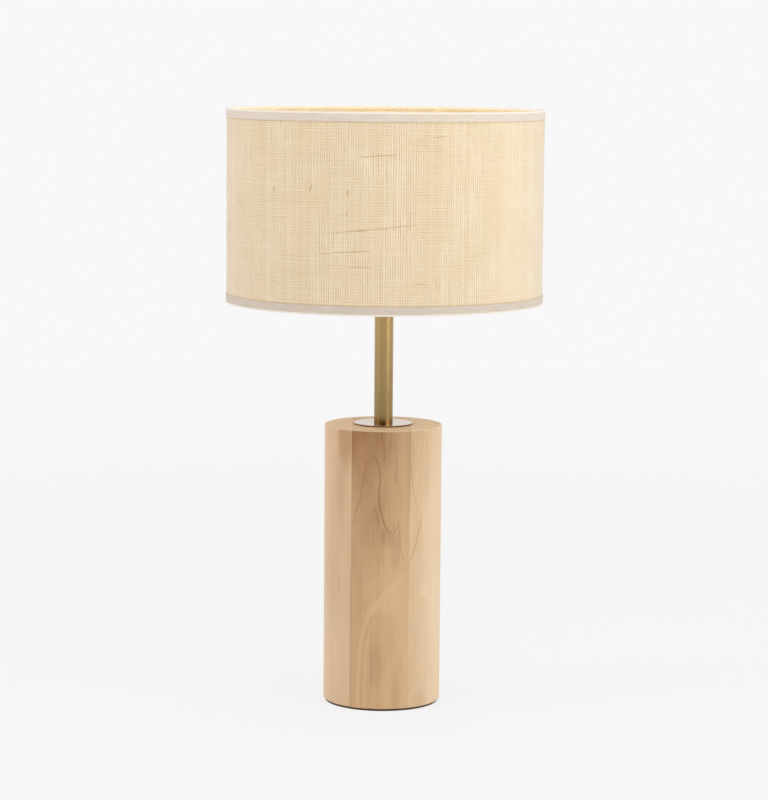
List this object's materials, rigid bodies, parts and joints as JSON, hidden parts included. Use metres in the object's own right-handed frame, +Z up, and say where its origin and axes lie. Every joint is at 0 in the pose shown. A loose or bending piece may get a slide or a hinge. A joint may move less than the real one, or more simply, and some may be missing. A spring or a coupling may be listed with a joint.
{
  "type": "table lamp",
  "caption": "Column table lamp: round laminated wood column, brass disc and stem, drum shade in woven raffia on a wire spider, screw lampholder with lock ring and bulb.",
  "frame": {"origin": "middle of the underside, where the lamp stands on the table", "axes": "+Z up along the column and stem, -Y to the front, +Y to the back where the cable leaves, +X to the right seen from the front"},
  "size_m": [0.3012, 0.3012, 0.5676],
  "materials": {
    "felt": "dark grey-brown felt",
    "wood": "pale figured hardwood, clear matt oil",
    "dark_plastic": "moulded, satin",
    "zinc_steel": "bright zinc plate",
    "polished_brass": "mirror polished",
    "brushed_brass": "satin, fine lengthwise brushing",
    "white_plastic": "moulded, satin gloss",
    "porcelain": "glazed ceramic insulator",
    "contact_brass": "plain stamped",
    "white_enamel": "white powder coat",
    "shade_film": "translucent lampshade film",
    "raffia": "natural raffia, plain weave, matt",
    "cotton_tape": "folded woven tape, matt",
    "bulb_glass": "dark vitrite",
    "nickel": "nickel plate",
    "bulb_plastic": "moulded, satin",
    "aluminium_plate": "white-coated board",
    "opal_plastic": "opal diffuser"
  },
  "bodies": {
    "stand": {"base_pad": "felt", "wood_board_left": "wood", "wood_board_core": "wood", "wood_board_right": "wood", "cable_bushing": "dark_plastic", "plate_washer": "zinc_steel", "lock_washer": "zinc_steel", "rod_nut": "zinc_steel", "threaded_rod": "zinc_steel", "brass_disc": "polished_brass", "stem_bush": "brushed_brass", "stem_tube": "brushed_brass", "stem_cap": "brushed_brass", "holder_dome": "white_plastic", "holder_grub_screw": "zinc_steel", "holder_skirt": "white_plastic", "holder_insert": "porcelain", "holder_screw_shell": "contact_brass", "centre_contact": "contact_brass", "terminal_blocks": "contact_brass", "terminal_screws": "zinc_steel", "contact_rivets": "contact_brass"},
    "shade": {"fitter_ring": "white_enamel", "spider_arm_1": "white_enamel", "spider_arm_2": "white_enamel", "spider_arm_3": "white_enamel", "lower_wire_ring": "white_enamel", "upper_wire_ring": "white_enamel", "shade_liner": "shade_film", "raffia_cover": "raffia", "lower_trim": "cotton_tape", "upper_trim": "cotton_tape"},
    "slip_washer": {"slip_washer": "white_plastic"},
    "lock_ring": {"lock_ring": "white_plastic"},
    "bulb_tip": {"bulb_tip": "contact_brass"},
    "bulb": {"bulb_insulator": "bulb_glass", "bulb_cap": "nickel", "bulb_collar": "bulb_plastic", "led_plate": "aluminium_plate", "bulb_globe": "opal_plastic"}
  },
  "joints": [
    {"name": "shade_swivel", "type": "hinge", "parent": "stand", "child": "shade", "pos_m": [0, 0, 0.426], "axis": [0, 0, 1], "continuous": true},
    {"name": "lock_ring_rise", "type": "slide", "parent": "stand", "child": "slip_washer", "axis": [0, 0, 1], "range_m": [0, 0.018]},
    {"name": "lock_ring_turn", "type": "hinge", "parent": "slip_washer", "child": "lock_ring", "pos_m": [0, 0, 0.4288], "axis": [0, 0, 1], "range_deg": [0, 2160]},
    {"name": "bulb_rise", "type": "slide", "parent": "stand", "child": "bulb_tip", "axis": [0, 0, 1], "range_m": [0, 0.01815]},
    {"name": "bulb_turn", "type": "hinge", "parent": "bulb_tip", "child": "bulb", "pos_m": [0, 0, 0.431], "axis": [0, 0, 1], "range_deg": [0, 1800]}
  ],
  "couplings": [
    {"joint": "lock_ring_rise", "follows": "lock_ring_turn", "m_per_rad": 0.00047746},
    {"joint": "bulb_rise", "follows": "bulb_turn", "m_per_rad": 0.00057773}
  ]
}
